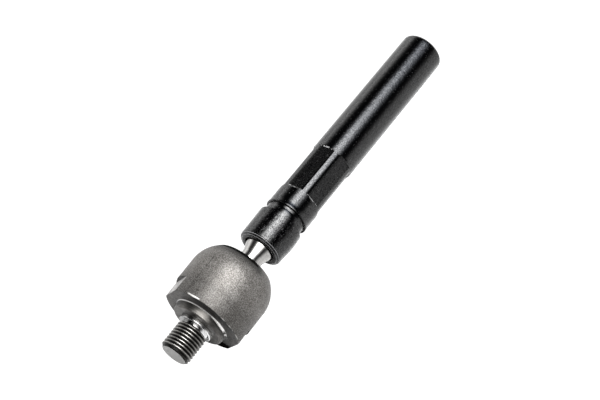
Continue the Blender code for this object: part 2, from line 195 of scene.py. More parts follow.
# Fineness of the meshes
COLUMNS = 180
STUD_COLUMNS = 128
HOUSING_EDGE_OFFSETS = [math.radians(a) for a in (-1.6, -0.8, -0.3, 0.0, 0.3, 0.8, 1.6)]
HEX_EDGE_OFFSETS = [math.radians(a) for a in (-1.6, -0.7, 0.0, 0.7, 1.6)]
ARC_STEP = math.radians(3.0)
FILLET_STEP = math.radians(12.0)
SKIN_ROW_STEP = 0.6 * MM
BOSS_ROW_STEP = 0.9 * MM
NECK_ROW_STEP = 1.0 * MM
PLAIN_ROW_STEP = 1.5 * MM
CAVITY_ROW_STEP = 2.0 * MM
BORE_ROW_STEP = 4.0 * MM
WELD_DISTANCE = 0.0005 * MM
SHARP_ANGLE = math.radians(32.0)
TOUCH = 0.01 * MM

# Rows over a flat's run-out: the steps between them, the clear stretch outside, and their spread
HOUSING_RUNOUT_ROWS = 8
HOUSING_RUNOUT_CLEAR = 0.3 * MM
HOUSING_RUNOUT_SPREAD = HOUSING_FLAT_RUNOUT + 0.3 * MM
HEX_RUNOUT_ROWS = 16
HEX_RUNOUT_CLEAR = 0.5 * MM
HEX_RUNOUT_SPREAD = HEX_RUNOUT + 0.6 * MM

# Places within a pitch, in shares of it, at which a thread has rows
STUD_PHASES = (-0.44, -0.375, -0.10, -0.0625, 0.0, 0.0625, 0.10, 0.375, 0.44, 0.5)
BORE_PHASES = (-0.375, -0.0625, 0.0, 0.0625, 0.375, 0.5)

# Painted shade of the forging by height in millimetres, over its whole skin and on its mouth's upper
# side: darkest at the base face, and on that side darkest at the mouth
FORGING_PAINTED_SHADES = (
    (-15.60, 0.30), (-15.48, 0.32), (-15.40, 0.50), (-11.4, 0.60), (-7.2, 0.64), (-4.9, 0.80),
    (-1.0, 0.93), (2.0, 0.97), (8.0, 0.92), (11.0, 0.84), (14.4, 0.80))
MOUTH_PAINTED_SHADES = (
    (8.0, 1.0), (9.5, 0.74), (11.0, 0.46), (12.0, 0.18), (12.8, 0.03), (14.4, 0.02))
FORGING_SHADE_START = FORGING_PAINTED_SHADES[0][0]
FORGING_SHADE_SPAN = 30.0
BASE_SHADE_FADE = 0.3 * MM

# Sides of the housing: the turn towards a side, and how far out it starts and is full
# Painted shade on the mouth's upper side
MOUTH_PAINTED_SHADE_SIDE = (math.radians(-20.0), 4.5 * MM, 8.5 * MM)
# Painted shadow on the base face's lower part, on the near side
BASE_SHADOW_LOW_SIDE = (0.0, -6.0 * MM, -10.5 * MM)
BASE_SHADOW_NEAR_SIDE = (math.radians(90.0), 1.0 * MM, 4.0 * MM)
# Painted shade on the base face's upper side
BASE_SHADED_UPPER_SIDE = (math.radians(22.0), 12.5 * MM, 15.5 * MM)
# Painted light on the base face's far side
BASE_LIT_FAR_SIDE = (math.radians(-75.0), 6.0 * MM, 13.0 * MM)
# Bare edge and line at the base: worn metal, kept to these sides as painted highlight
BARE_EDGE_GLINT_SIDE = (math.radians(-10.0), 18.50 * MM, 18.66 * MM)
BARE_LINE_GLINT_SIDE = (math.radians(72.0), 12.0 * MM, 16.0 * MM)
# Painted highlight: the ring round the boss is wider and near-white on this side
RING_HIGHLIGHT_SIDE = (math.radians(68.0), 9.5 * MM, 12.0 * MM)
# Painted reflection: the collar is lighter on these sides
COLLAR_REFLECTION_SIDE = (math.radians(96.0), 2.0 * MM, 4.0 * MM)
COLLAR_FAINT_REFLECTION_SIDE = (math.radians(-66.0), 3.5 * MM, 5.5 * MM)

# Side of the sleeve on which the flats' far end walls are worn and carry a painted highlight
HEX_WORN_AND_GLINT_SIDE = (HEX_RIDGE_TURN - math.pi / 2, -0.5 * MM, 0.5 * MM)

# How much lighter or darker the forging is all over and where a mask is full: painted shadow on the base
# face's lower near part, painted shade on its upper side, painted light on its far side, its random
# patches and the die's line
FORGING_SHADE_GAIN = 1.15
BASE_SHADOW_GAIN = -0.92
BASE_PATCHY_GAIN = -0.4
BASE_SHADED_UPPER_GAIN = -0.6
BASE_LIT_FAR_GAIN = 0.9
DIE_LINE_GAIN = -0.5

# Marks on the housing: the faint line that its die left, the bare ring round the boss, which shows more
#  above by so much a metre as wear and painted highlight, and the collar's turning cuts
DIE_LINE_TURN = math.radians(-71.0)
DIE_LINE_OFFSET = 12.6 * MM
DIE_LINE_WIDTH = 0.12 * MM
DIE_LINE_FADE = 0.3 * MM
DIE_LINE_START_Z = -14.5 * MM
DIE_LINE_END_Z = 4.0 * MM
DIE_LINE_END_FADE = 3.0 * MM
RING_UPPER_WEAR_AND_HIGHLIGHT = 45.0
COLLAR_CUT_SPACING = 0.55 * MM

# Noise scales, in features a metre
FINE_GRAIN = 2300.0
PATCH_GRAIN = 260.0
WEAR_GRAIN = 330.0
MACHINED_WEAR_GRAIN = 420.0
MACHINED_RINGS = 5200.0
MACHINED_PATCHES = (350.0, 350.0, 1400.0)
THREAD_WEAR_GRAIN = 1300.0
BRIGHT_RINGS = (120.0, 120.0, 6000.0)
PEEL_GRAIN = 900.0
SPECK_GRAIN = 1500.0
MOTTLE_GRAIN = 620.0
SCUFF_GRAIN = (1100.0, 1100.0, 420.0)
TUBE_RINGS = (150.0, 150.0, 3500.0)
FACE_RINGS = 2600.0
PLASTIC_CLOUD = 400.0

# Colours of the finishes; those with stops go by a noise, and the thread's by its depth
FORGING_GREYS = (
    (0.36, (0.070, 0.065, 0.060)), (0.5, (0.145, 0.138, 0.130)), (0.64, (0.255, 0.246, 0.234)))
FORGING_TINTS = ((0.35, (0.84, 0.83, 0.82)), (0.65, (1.0, 1.0, 1.0)))
FLAT_GREY = (0.46, 0.45, 0.44, 1.0)
# Bare worn edge, lighter as a painted highlight
BARE_EDGE_AND_GLINT_GREY = (0.62, 0.61, 0.59, 1.0)
FLAT_WALL_GREY = (0.03, 0.028, 0.026, 1.0)
BOSS_GREYS = (
    (0.3, (0.065, 0.062, 0.058)), (0.5, (0.10, 0.096, 0.09)), (0.7, (0.15, 0.145, 0.137)))
# The collar: a shaded dark grey, and a painted reflection
COLLAR_SHADED_GREY = (0.06, 0.058, 0.055, 1.0)
COLLAR_REFLECTION_GREY = (0.85, 0.85, 0.85, 1.0)
STUD_TIP_GREY = (0.22, 0.218, 0.212, 1.0)
# The ring round the boss: its bare grey, and its near-white painted highlight
THIN_RING_GREY = (0.46, 0.455, 0.445, 1.0)
RING_HIGHLIGHT_GREY = (0.95, 0.94, 0.92, 1.0)
THREAD_GREYS = (
    (0.0, (0.012, 0.012, 0.011)), (0.45, (0.045, 0.043, 0.040)), (0.75, (0.16, 0.155, 0.147)),
    (1.0, (0.36, 0.35, 0.335)))
BRIGHT_GREYS = ((0.3, (0.39, 0.382, 0.37)), (0.7, (0.49, 0.48, 0.465)))
SLEEVE_BLACK = (0.0006, 0.0006, 0.0007, 1.0)
SLEEVE_FACE_BLACK = (0.004, 0.004, 0.004, 1.0)
SPECK_GREY = (0.03, 0.03, 0.03, 1.0)
PIT_GREY = (0.02, 0.02, 0.02, 1.0)
FACE_ARC_GREY = (0.14, 0.14, 0.145, 1.0)
# Bare steel at the flats' end walls, partly a painted highlight
HEX_WORN_AND_GLINT_GREY = (0.22, 0.22, 0.22, 1.0)
PLASTIC_CREAMS = ((0.3, (0.66, 0.64, 0.57)), (0.7, (0.74, 0.72, 0.66)))

# Light: the softbox by degrees across the rod and by slope along it, the room by height
BOX_ACROSS_SPAN = 120.0
BOX_ACROSS = (
    (-30.0, 0.0), (-26.0, 0.02), (-19.0, 0.12), (-14.5, 0.36), (-10.0, 0.62), (-6.0, 0.83),
    (-2.0, 0.96), (3.0, 1.0), (8.0, 0.96), (14.4, 0.78), (22.8, 0.43), (31.0, 0.17),
    (39.0, 0.03), (47.0, 0.0))
BOX_ALONG_SPAN = 2.0
BOX_ALONG = (
    (-0.55, 0.0), (-0.35, (1.0, 1.0, 1.0)), (0.45, (1.0, 1.0, 1.0)), (0.54, (0.94, 0.95, 0.96)),
    (0.655, (0.61, 0.62, 0.645)), (0.70, (0.44, 0.46, 0.49)), (0.75, (0.26, 0.28, 0.31)),
    (0.78, (0.20, 0.215, 0.245)), (0.86, (0.08, 0.09, 0.11)), (0.97, 0.0))
BOX_STRENGTH = 14.5
BOX_LOWEST_Z = 0.05
ROOM_TILT = math.radians(1.7)
ROOM_HEIGHTS = (
    (0.0, 1.0), (0.06, 0.98), (0.175, 0.80), (0.285, 0.49), (0.34, 0.28), (0.395, 0.12),
    (0.44, 0.06), (0.50, 0.025), (0.56, 0.0))
ROOM_STRENGTH = 1.45
ROOM_BACK_GAIN = 0.42

# Floor
FLOOR_HALF_WIDTH = 4.0
FLOOR_GAP = 0.05 * MM
FLOOR_ALBEDO = 0.47
FLOOR_SPECULAR = 0.5
FLOOR_ROUGHNESS = 0.3
FLOOR_WHITE = 1.2

# Camera
CAMERA_LENS_MM = 86.884
CAMERA_SENSOR_MM = 36.0
CAMERA_AZIMUTH = math.radians(-55.2704)
CAMERA_ELEVATION = math.radians(60.9195)
CAMERA_TARGET = Vector((-5.200, -0.064, 15.548)) * MM
CAMERA_DISTANCE = 632.74 * MM
CAMERA_NEAREST = 0.01
CAMERA_FARTHEST = 20.0

# A fine mesh's attribute that holds each point's place in the turned piece's own frame
PLACE = "place"

# The revolved axis, local Z, lies along world +X, and local Y is world up.
ALONG_X = Matrix(((0, 0, 1), (1, 0, 0), (0, 1, 0))).to_4x4()


def arc(centre, radius, start, end, step=ARC_STEP):
    """Points of an arc in the (r, z) plane, with angles from +r towards +z."""
    count = max(3, math.ceil(abs(end - start) / step))
    angles = [start + (end - start) * i / count for i in range(count + 1)]
    return [(centre[0] + radius * math.cos(a), centre[1] + radius * math.sin(a)) for a in angles]


def sphere_point(radius, polar):
    """The point of a sphere about the ball's centre, polar angle from +z."""
    return (radius * math.sin(polar), radius * math.cos(polar))


def rounded(corners):
    """A polyline in which each corner (r, z, fillet) is rounded by its fillet."""
    points = []
    for i, (r, z, fillet) in enumerate(corners):
        if fillet == 0.0:
            points.append((r, z))
            continue
        corner = Vector((r, z))
        back = (Vector(corners[i - 1][:2]) - corner).normalized()
        ahead = (Vector(corners[i + 1][:2]) - corner).normalized()
        half = back.angle(ahead) / 2
        centre = corner + (back + ahead).normalized() * (fillet / math.sin(half))
        first = corner + back * (fillet / math.tan(half)) - centre
        last = corner + ahead * (fillet / math.tan(half)) - centre
        start = math.atan2(first.y, first.x)
        sweep = math.atan2(last.y, last.x) - start
        sweep = (sweep + math.pi) % math.tau - math.pi
        points += arc(centre, fillet, start, start + sweep, FILLET_STEP)
    return points


def densified(points, step):
    """The same polyline with points added along its long straight stretches."""
    dense = [points[0]]
    for (r0, z0), (r1, z1) in zip(points, points[1:]):
        count = max(1, math.ceil(math.hypot(r1 - r0, z1 - z0) / step))
        for i in range(1, count + 1):
            dense.append((r0 + (r1 - r0) * i / count, z0 + (z1 - z0) * i / count))
    return dense


def thread_cut(turn, z, phase_turn):
    """Depth of a right-hand thread's groove under its crest at an angle and height."""
    phase = z / THREAD_PITCH - (turn - phase_turn) / math.tau
    share = np.abs(phase - np.round(phase))
    flank_span = THREAD_ROOT_SHARE - THREAD_CREST_SHARE
    flank = np.clip((share - THREAD_CREST_SHARE) / flank_span, 0.0, 1.0)
    root = np.clip((share - THREAD_ROOT_SHARE) / (1 / 2 - THREAD_ROOT_SHARE), 0.0, 1.0)
    return THREAD_DEPTH * flank + THREAD_ROOT_ROUND * (1.0 - (1.0 - root) ** 2)


def turned_rows(points, turns):
    """Rows of a plain turned stretch: radius and height for each point and angle."""
    r = np.repeat([[max(p[0], 0.0)] for p in points], len(turns), axis=1)
    z = np.repeat([[p[1]] for p in points], len(turns), axis=1)
    return r, z, 0


def threaded_rows(points, turns, phase_turn, pitch_phases):
    """Rows that follow a thread's helix along a stretch, clipped at its two ends."""
    low, high = sorted((points[0][1], points[-1][1]))
    first = math.floor(low / THREAD_PITCH) - 2
    last = math.ceil(high / THREAD_PITCH) + 2
    phases = [n + p for n in range(first, last + 1) for p in pitch_phases]
    z = THREAD_PITCH * (np.array(phases)[:, None] + (turns[None, :] - phase_turn) / math.tau)
    z = np.clip(z, low, high)
    ordered = sorted(points, key=lambda p: p[1])
    r = np.interp(z, [p[1] for p in ordered], [p[0] for p in ordered])
    return r, z, len(pitch_phases)


def grid_faces(first, rows, columns, seam_shift):
    """Faces between the rows of a closed grid, which the seam joins some rows further on."""
    faces = []
    for i in range(rows - 1):
        for j in range(columns):
            k = (j + 1) % columns
            shift = seam_shift if k == 0 else 0
            low = first + min(i + shift, rows - 1) * columns + k
            high = first + min(i + 1 + shift, rows - 1) * columns + k
            here = first + i * columns + j
            faces.append((here, low, high, here + columns))
    return faces


def lathe(name, stretches, turns, shape, materials, matrix):
    """A mesh of stretches of rows about local Z, each stretch with its own material."""
    vertices = []
    faces = []
    slots = []
    for slot, (r, z, seam_shift) in stretches:
        r = shape(np.broadcast_to(turns, r.shape), r, z)
        found = grid_faces(len(vertices), len(r), len(turns), seam_shift)
        faces += found
        slots += [slot] * len(found)
        vertices += np.stack([-r * np.sin(turns), r * np.cos(turns), z], axis=-1).reshape(-1, 3).tolist()
    mesh = bpy.data.meshes.new(name)
    mesh.from_pydata(vertices, [], faces)
    mesh.polygons.foreach_set("material_index", slots)
    for material in materials:
        mesh.materials.append(material)
    welded = bmesh.new()
    welded.from_mesh(mesh)
    bmesh.ops.remove_doubles(welded, verts=welded.verts, dist=WELD_DISTANCE)
    bmesh.ops.dissolve_degenerate(welded, edges=welded.edges, dist=WELD_DISTANCE)
    bmesh.ops.recalc_face_normals(welded, faces=welded.faces)
    welded.to_mesh(mesh)
    welded.free()
    mesh.shade_smooth()
    mesh.set_sharp_from_angle(angle=SHARP_ANGLE)
    place = np.empty(len(mesh.vertices) * 3, np.float32)
    mesh.vertices.foreach_get("co", place)
    mesh.attributes.new(PLACE, "FLOAT_VECTOR", "POINT").data.foreach_set("vector", place)
    mesh.transform(matrix)
    obj = bpy.data.objects.new(name, mesh)
    bpy.context.scene.collection.objects.link(obj)
    return obj


def column_turns(flat_turns, half_angle, offsets):
    """Even angles about the axis, with more of them beside both edges of each flat."""
    edges = [turn + side * half_angle for turn in flat_turns for side in (-1, 1)]
    fine = [(edge + offset) % math.tau for edge in edges for offset in offsets]
    turns = list(fine)
    spacing = math.tau / COLUMNS
    for i in range(COLUMNS):
        gaps = [abs((i * spacing - turn + math.pi) % math.tau - math.pi) for turn in fine]
        if min(gaps) > spacing / 3:
            turns.append(i * spacing)
    return np.array(sorted(turns))


def soft_min(a, b, k):
    """The lesser of two values, with the corner between them rounded over a width k."""
    h = np.clip(0.5 + 0.5 * (b - a) / k, 0.0, 1.0)
    return b + (a - b) * h - k * h * (1.0 - h)


def smooth_step(low, high, value):
    """A value from 0 to 1 that leaves both ends gently."""
    t = np.clip((value - low) / (high - low), 0.0, 1.0)
    return t * t * (3.0 - 2.0 * t)


def waviness(turn, r, z, length, seed):
    """Smooth noise from -1 to 1 over a surface, with waves of the given length."""
    scale = 1.0 / length
    values = []
    for a, b, c in zip(turn.ravel(), r.ravel(), z.ravel()):
        point = Vector((-b * math.sin(a) * scale + seed, b * math.cos(a) * scale, c * scale))
        values.append(noise.noise(point))
    return np.array(values).reshape(r.shape)


def housing_shape(turn, r, z):
    """The turned housing with its two flats, its thread and its forged unevenness."""
    skin = (r > FORGED_SKIN_RADIUS) & (z > -BASE_DEPTH - TOUCH)
    ragged = HOUSING_RAG_HEIGHT * waviness(turn, r, z, HOUSING_RAG_LENGTH, HOUSING_RAG_SEED)
    flat_top = HOUSING_FLAT_TOP_Z
    uncut = smooth_step(flat_top - HOUSING_FLAT_RUNOUT, flat_top, z + ragged)
    across = HOUSING_RADIUS - HOUSING_FLAT_DEPTH * (1.0 - uncut)
    for flat_turn in HOUSING_FLAT_TURNS:
        away = np.cos(turn - flat_turn)
        on_flat = skin & (away > HOUSING_FLAT_MIN_COSINE) & (z < flat_top + HOUSING_FLAT_MARGIN)
        plane = across / np.maximum(away, HOUSING_FLAT_MIN_COSINE)
        r = np.where(on_flat, np.minimum(r, soft_min(r, plane, HOUSING_FLAT_EDGE)), r)
    waves = waviness(turn, r, z, FORGED_WAVE_LENGTH, FORGED_WAVE_SEED)
    forged = FORGED_WAVE_HEIGHT * waves - FORGED_WAVE_SINK
    r = np.where(skin, r + forged * smooth_step(0.0, FORGED_WAVE_FADE, z + BASE_DEPTH), r)
    crest = THREAD_RADIUS - thread_cut(turn, z, STUD_THREAD_TURN)
    relief_middle = BOSS_FACE_Z - COLLAR_HEIGHT - 0.5 * RELIEF_LENGTH
    return np.where(z < relief_middle, np.minimum(r, crest), r)


def cavity_profile():
    """From the cavity's floor up its cone and round its sphere to the mouth."""
    slope = CAVITY_CONE_SLOPE
    shoulder = CAVITY_RADIUS * math.tan(slope / 2)
    floor_radius = (CAVITY_RADIUS - CAVITY_FLOOR_DEPTH * math.sin(slope)) / math.cos(slope)
    points = [(0.0, -CAVITY_FLOOR_DEPTH), (floor_radius, -CAVITY_FLOOR_DEPTH), (CAVITY_RADIUS, -shoulder)]
    return points + arc((0.0, 0.0), CAVITY_RADIUS, 0.0, math.pi / 2 - MOUTH_INNER_POLAR)


def skin_profile(mouth_point):
    """From the mouth over the dome and down the wall to the base face."""
    dome = HOUSING_RADIUS + DOME_SWELL
    below_lip_polar = MOUTH_OUTER_POLAR + MOUTH_LIP_WIDTH / dome
    blend_angle = math.pi / 2 - DOME_BLEND_POLAR
    blend_radius = (HOUSING_RADIUS - dome * math.cos(blend_angle)) / (1 - math.cos(blend_angle))
    blend_centre = sphere_point(dome - blend_radius, DOME_BLEND_POLAR)
    points = rounded([
        (*mouth_point, 0.0),
        (*sphere_point(dome, MOUTH_OUTER_POLAR), MOUTH_LIP_RADIUS),
        (*sphere_point(dome, below_lip_polar), 0.0),
    ])
    points += arc((0.0, 0.0), dome, math.pi / 2 - below_lip_polar, blend_angle)
    points += arc(blend_centre, blend_radius, blend_angle, 0.0)[1:]
    points.append((HOUSING_RADIUS, HOUSING_FLAT_TOP_Z + HOUSING_RUNOUT_CLEAR))
    for i in range(HOUSING_RUNOUT_ROWS + 1):
        below = HOUSING_RUNOUT_SPREAD * i / HOUSING_RUNOUT_ROWS
        points.append((HOUSING_RADIUS, HOUSING_FLAT_TOP_Z + HOUSING_FLAT_MARGIN - below))
    base = rounded([
        (*points[-1], 0.0),
        (HOUSING_RADIUS, -BASE_DEPTH, BASE_EDGE_RADIUS),
        (BOSS_RADIUS + BOSS_FILLET_LEG, -BASE_DEPTH, 0.0),
    ])
    return points + base[1:]


def make_housing(materials, matrix):
    """The forging with its cavity, flats, boss, collar and threaded stud."""
    collar_end = BOSS_FACE_Z - COLLAR_HEIGHT
    relief_end = collar_end - RELIEF_LENGTH
    end = -STUD_REACH
    cavity = cavity_profile()
    skin = skin_profile(cavity[-1])
    boss = rounded([
        (*skin[-1], 0.0),
        (BOSS_RADIUS, -BASE_DEPTH, BOSS_FILLET_RADIUS),
        (BOSS_RADIUS - BOSS_TAPER, BOSS_FACE_Z, BOSS_EDGE_RADIUS),
        (COLLAR_RADIUS, BOSS_FACE_Z, 0.0),
        (COLLAR_RADIUS, collar_end, COLLAR_EDGE_RADIUS),
        (RELIEF_RADIUS, collar_end, 0.0),
        (RELIEF_RADIUS, relief_end + RELIEF_RAMP, 0.0),
    ])
    thread = [
        boss[-1],
        (THREAD_RADIUS, relief_end - RELIEF_RAMP),
        (THREAD_RADIUS, end + STUD_CHAMFER),
        (THREAD_RADIUS - STUD_CHAMFER, end),
    ]
    tip = [thread[-1], (0.0, end)]
    half_angle = math.acos(1.0 - HOUSING_FLAT_DEPTH / HOUSING_RADIUS)
    turns = column_turns(HOUSING_FLAT_TURNS, half_angle, HOUSING_EDGE_OFFSETS)
    stretches = [
        (1, turned_rows(densified(cavity, CAVITY_ROW_STEP), turns)),
        (0, turned_rows(densified(skin, SKIN_ROW_STEP), turns)),
        (1, turned_rows(densified(boss, BOSS_ROW_STEP), turns)),
        (2, threaded_rows(thread, turns, STUD_THREAD_TURN, STUD_PHASES)),
        (1, turned_rows(densified(tip, PLAIN_ROW_STEP), turns)),
    ]
    return lathe("housing_forging", stretches, turns, housing_shape, materials, matrix)


def plain_shape(turn, r, z):
    """A turned piece without cuts or unevenness."""
    return r


def make_ball_stud(materials, matrix):
    """Shank, flare, neck and ball, from the shank's end to the ball's pole."""
    shank_end = SLEEVE_START + SHANK_LENGTH
    flare_end = SLEEVE_START - FLARE_GAP
    root_r = NECK_RADIUS + NECK_ROOT_FILLET
    root_z = math.sqrt((BALL_RADIUS + NECK_ROOT_FILLET) ** 2 - root_r ** 2)
    root_angle = math.atan2(root_z, root_r)
    pole = -math.acos(BALL_POLE_FLAT_RADIUS / BALL_RADIUS)
    neck = rounded([
        (0.0, shank_end, 0.0),
        (SHANK_RADIUS - SHANK_CHAMFER, shank_end, 0.0),
        (SHANK_RADIUS, shank_end - SHANK_CHAMFER, 0.0),
        (SHANK_RADIUS, flare_end, FLARE_SHOULDER_RADIUS),
        (NECK_RADIUS, flare_end - FLARE_LENGTH, FLARE_HOLLOW_RADIUS),
        (NECK_RADIUS, root_z, 0.0),
    ])[:-1]
    neck += arc((root_r, root_z), NECK_ROOT_FILLET, math.pi, math.pi + root_angle)
    ball = arc((0.0, 0.0), BALL_RADIUS, root_angle, pole)
    ball.append((0.0, ball[-1][1]))
    turns = np.linspace(0.0, math.tau, STUD_COLUMNS, endpoint=False)
    stretches = [
        (0, turned_rows(densified(neck, NECK_ROW_STEP), turns)),
        (0, turned_rows(ball, turns)),
    ]
    return lathe("neck_and_ball", stretches, turns, plain_shape, materials, matrix)


def sleeve_shape(turn, r, z):
    """The turned sleeve with its bulged head, its six wrench flats and its far thread."""
    skin = r > SLEEVE_SKIN_RADIUS
    near = SLEEVE_START
    one_side = smooth_step(HEAD_BULGE_MIN_COSINE, 1.0, np.cos(turn - HEAD_BULGE_TURN))
    swell = smooth_step(near + HEAD_BULGE_START, near + HEAD_BULGE_FULL, z)
    swell = swell * (1.0 - smooth_step(near + HEAD_BULGE_FADE, near + HEAD_LENGTH, z))
    r = np.where(skin, r + HEAD_BULGE * one_side * swell, r)

    along = z + HEX_RAG_HEIGHT * waviness(turn, r, z, HEX_RAG_LENGTH, HEX_RAG_SEED)
    lead = HEX_RUNOUT_LEAD
    into = smooth_step(HEX_START - lead, HEX_START + HEX_RUNOUT - lead, along)
    out = 1.0 - smooth_step(HEX_END - HEX_RUNOUT + lead, HEX_END + lead, along)
    depth = HEX_DEPTH * np.minimum(into, out)
    for flat_turn in HEX_FLAT_TURNS:
        away = np.cos(turn - flat_turn)
        on_flat = skin & (away > HEX_MIN_COSINE) & (depth > 0.0)
        plane = (SLEEVE_RADIUS - depth) / np.maximum(away, HEX_MIN_COSINE)
        edge = np.where(np.sin(turn - flat_turn) < 0.0, HEX_ROLLED_EDGE, HEX_SHARP_EDGE)
        r = np.where(on_flat, np.minimum(r, soft_min(r, plane, edge)), r)

    thread_z = SLEEVE_END - FAR_THREAD_LENGTH
    groove = THREAD_RADIUS - thread_cut(turn, z, FAR_THREAD_TURN)
    cut = (groove - FAR_BORE_RADIUS) * smooth_step(thread_z, thread_z + THREAD_PITCH, z)
    return np.where(r > FAR_BORE_RADIUS - TOUCH, np.maximum(r, FAR_BORE_RADIUS + cut), r)


def hex_rows():
    """Corners of the tube's outline over both run-outs of the hex, from the far one back."""
    heights = []
    for end, side in ((HEX_END, 1), (HEX_START, -1)):
        for i in range(HEX_RUNOUT_ROWS + 1):
            inward = HEX_RUNOUT_SPREAD * i / HEX_RUNOUT_ROWS
            heights.append(end + side * (HEX_RUNOUT_CLEAR - inward))
    return [(SLEEVE_RADIUS, z, 0.0) for z in sorted(heights, reverse=True)]


def make_sleeve(materials, matrix):
    """The black tube, from its drilled and threaded far bore round to the bore for the shank."""
    near = SLEEVE_START
    far = SLEEVE_END
    head = near + HEAD_LENGTH
    groove = head + GROOVE_RAMP_LENGTH
    line = groove + GROOVE_LINE_PLACE
    lip = groove + GROOVE_FLOOR_LENGTH
    lip_end = lip + LIP_LENGTH
    step_end = near + HEAD_CHAMFER_LENGTH
    head_start = step_end + HEAD_STEP_LENGTH
    head_front = SLEEVE_RADIUS + HEAD_FRONT_RISE
    groove_radius = SLEEVE_RADIUS - GROOVE_DEPTH
    bore = FAR_BORE_RADIUS
    bore_z = far - FAR_BORE_DEPTH
    thread_z = far - FAR_THREAD_LENGTH
    shank_bore = SHANK_RADIUS + SHANK_BORE_GAP
    shank_bore_z = near + SHANK_LENGTH + SHANK_BORE_SPARE
    drilled = [(0.0, bore_z - bore / math.tan(DRILL_TIP_ANGLE)), (bore, bore_z), (bore, thread_z)]
    thread = [(bore, thread_z), (bore, far - FAR_COUNTERSINK), (bore + FAR_COUNTERSINK, far)]
    tube = rounded([
        (bore + FAR_COUNTERSINK, far, 0.0),
        (SLEEVE_RADIUS, far, SLEEVE_END_ROUND),
        *hex_rows(),
        (SLEEVE_RADIUS, lip_end + LIP_RAMP, 0.0),
        (SLEEVE_RADIUS + LIP_RISE, lip_end, 0.0),
        (SLEEVE_RADIUS + LIP_RISE, lip, LIP_EDGE_RADIUS),
        (groove_radius, lip, 0.0),
        (groove_radius, line + GROOVE_LINE_WIDTH, 0.0),
        (groove_radius - GROOVE_LINE_DEPTH, line, 0.0),
        (groove_radius, line - GROOVE_LINE_WIDTH, 0.0),
        (groove_radius, groove, 0.0),
        (SLEEVE_RADIUS + HEAD_BACK_RISE, head, 0.0),
        (head_front, head_start, HEAD_SIDE_ROUND),
        (head_front - HEAD_STEP, head_start, 0.0),
        (head_front - HEAD_STEP, step_end, HEAD_SIDE_ROUND),
        (head_front - HEAD_CHAMFER_DEPTH, near, HEAD_FRONT_ROUND),
        (RECESS_RADIUS + RECESS_CHAMFER, near, 0.0),
        (RECESS_RADIUS, near + RECESS_CHAMFER, 0.0),
        (RECESS_RADIUS, near + RECESS_DEPTH, 0.0),
        (shank_bore, near + RECESS_DEPTH, 0.0),
        (shank_bore, shank_bore_z, 0.0),
        (0.0, shank_bore_z + shank_bore / math.tan(DRILL_TIP_ANGLE), 0.0),
    ])
    half_angle = math.acos(1.0 - HEX_DEPTH / SLEEVE_RADIUS)
    turns = column_turns(HEX_FLAT_TURNS, half_angle, HEX_EDGE_OFFSETS)
    stretches = [
        (0, turned_rows(densified(drilled, BORE_ROW_STEP), turns)),
        (0, threaded_rows(thread, turns, FAR_THREAD_TURN, BORE_PHASES)),
        (0, turned_rows(densified(tube, PLAIN_ROW_STEP), turns)),
    ]
    return lathe("sleeve_tube", stretches, turns, sleeve_shape, materials, matrix)


def set_inputs(tree, node, values):
    """Sets a node's sockets by name or number: a socket is linked and a value is stored."""
    for key, value in values.items():
        socket = node.inputs[key]
        if isinstance(value, bpy.types.NodeSocket):
            tree.links.new(value, socket)
        else:
            socket.default_value = value
    return node


def add(tree, kind, values=None, **settings):
    """A new node with its settings and its sockets' values."""
    node = tree.nodes.new(kind)
    for key, value in settings.items():
        setattr(node, key, value)
    return set_inputs(tree, node, values or {})


def calc(tree, operation, a, b=0.0, c=0.0, clamp=False):
    """The result of a Math node."""
    node = add(tree, "ShaderNodeMath", {0: a, 1: b, 2: c}, operation=operation, use_clamp=clamp)
    return node.outputs[0]


def both(tree, a, b):
    """The product of two values: where both masks are."""
    return calc(tree, "MULTIPLY", a, b)


def most(tree, first, *others):
    """The greatest of some values: where any of the masks is."""
    for other in others:
        first = calc(tree, "MAXIMUM", first, other)
    return first


def linear(tree, value, factor, start):
    """A value times a factor, on top of a start."""
    return calc(tree, "MULTIPLY_ADD", value, factor, start)


def rise(tree, value, low, high):
    """A mask that goes from 0 at one value to 1 at the other, which may lie below it."""
    values = {"Value": value, "From Min": low, "From Max": high}
    return add(tree, "ShaderNodeMapRange", values).outputs[0]


def band(tree, value, low, high, soft):
    """A mask that is 1 between two values and fades to 0 beyond them."""
    return both(tree, rise(tree, value, low - soft, low), rise(tree, value, high + soft, high))


def ramp(tree, factor, stops):
    """A colour that depends on a factor: stops of (position, grey or colour)."""
    node = add(tree, "ShaderNodeValToRGB", {"Fac": factor})
    elements = node.color_ramp.elements
    while len(elements) < len(stops):
        elements.new(0.5)
    for element, (position, colour) in zip(elements, stops):
        element.position = position
        rgb = colour if isinstance(colour, tuple) else (colour, colour, colour)
        element.color = (*rgb, 1.0)
    return node.outputs["Color"]


def mix(tree, mask, a, b):
    """Colour a where the mask is 0 and colour b where it is 1."""
    return add(tree, "ShaderNodeMix", {0: mask, 6: a, 7: b}, data_type="RGBA").outputs[2]


def multiplied(tree, a, b):
    """The product of two colours."""
    node = add(tree, "ShaderNodeMix", {0: 1.0, 6: a, 7: b}, data_type="RGBA", blend_type="MULTIPLY")
    return node.outputs[2]


def scaled(tree, colour, factor):
    """A colour times a factor."""
    node = add(tree, "ShaderNodeVectorMath", {0: colour, 3: factor}, operation="SCALE")
    return node.outputs["Vector"]


def spots(tree, vector, scale, detail=2.0, roughness=0.5):
    """Cloudy noise from 0 to 1."""
    values = {"Vector": vector, "Scale": scale, "Detail": detail, "Roughness": roughness}
    return add(tree, "ShaderNodeTexNoise", values).outputs["Fac"]


def stretched(tree, vector, scale):
    """A vector with each of its parts times a scale of its own."""
    return add(tree, "ShaderNodeMapping", {"Vector": vector, "Scale": scale}).outputs[0]


